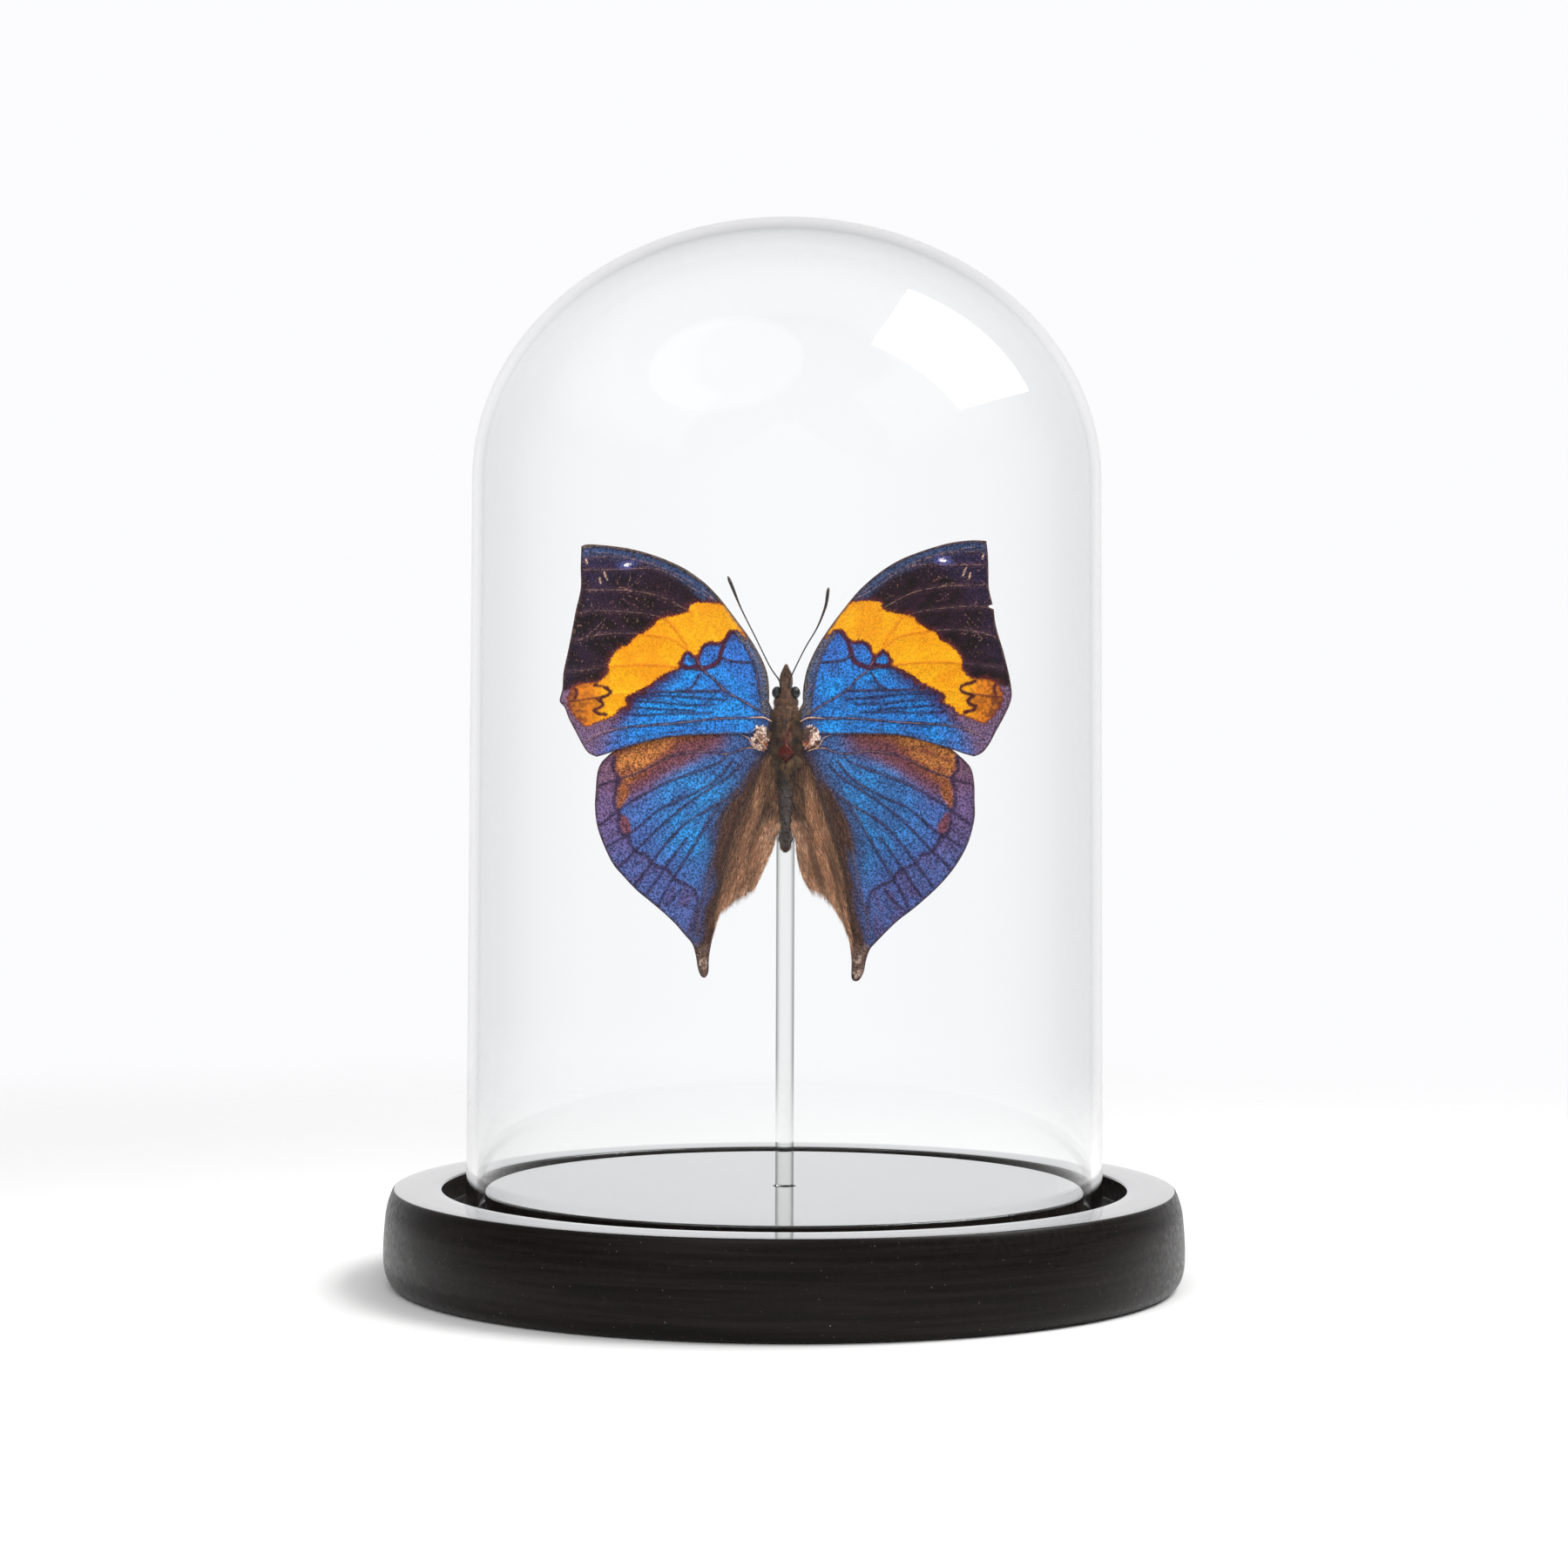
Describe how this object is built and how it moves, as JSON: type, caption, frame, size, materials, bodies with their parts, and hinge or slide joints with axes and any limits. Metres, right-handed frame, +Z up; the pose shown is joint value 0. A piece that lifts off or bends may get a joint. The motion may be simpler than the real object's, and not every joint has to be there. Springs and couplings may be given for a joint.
{
  "type": "insect in glass dome",
  "caption": "Dry leaf butterfly with blue and orange wings spread on a clear rod, standing on a round black wooden base under a clear glass dome that lifts off.",
  "frame": {"origin": "centre of the base's flat underside", "axes": "+Z up along the dome's axis; the butterfly's head points up and its upper side faces -Y; +X is to the right of someone who looks at its upper side"},
  "size_m": [0.15, 0.15, 0.199],
  "materials": {
    "black_lacquered_wood": "satin black paint over turned wood",
    "clear_glass": "clear polished glass",
    "clear_rod": "clear polished acrylic",
    "clear_glue": "clear set adhesive",
    "forewing_scales": "blue, orange and aubergine scales above, leaf brown below",
    "hindwing_scales": "blue and violet scales above, leaf brown below",
    "body_fur": "dark brown scales and hair",
    "dark_horn": "bare dark cuticle",
    "eye_black": "glossy black"
  },
  "bodies": {
    "root": {"abdomen": "body_fur", "antenna_left": "dark_horn", "antenna_right": "dark_horn", "base": "black_lacquered_wood", "dome": "clear_glass", "eye_left": "eye_black", "eye_right": "eye_black", "foreleg_left": "body_fur", "foreleg_right": "body_fur", "forewing_left": "forewing_scales", "forewing_right": "forewing_scales", "glue_dab": "clear_glue", "head": "body_fur", "hindleg_left": "body_fur", "hindleg_right": "body_fur", "hindwing_left": "hindwing_scales", "hindwing_right": "hindwing_scales", "midleg_left": "body_fur", "midleg_right": "body_fur", "palp_left": "body_fur", "palp_right": "body_fur", "proboscis": "dark_horn", "rod": "clear_rod", "thorax": "body_fur"}
  },
  "joints": []
}
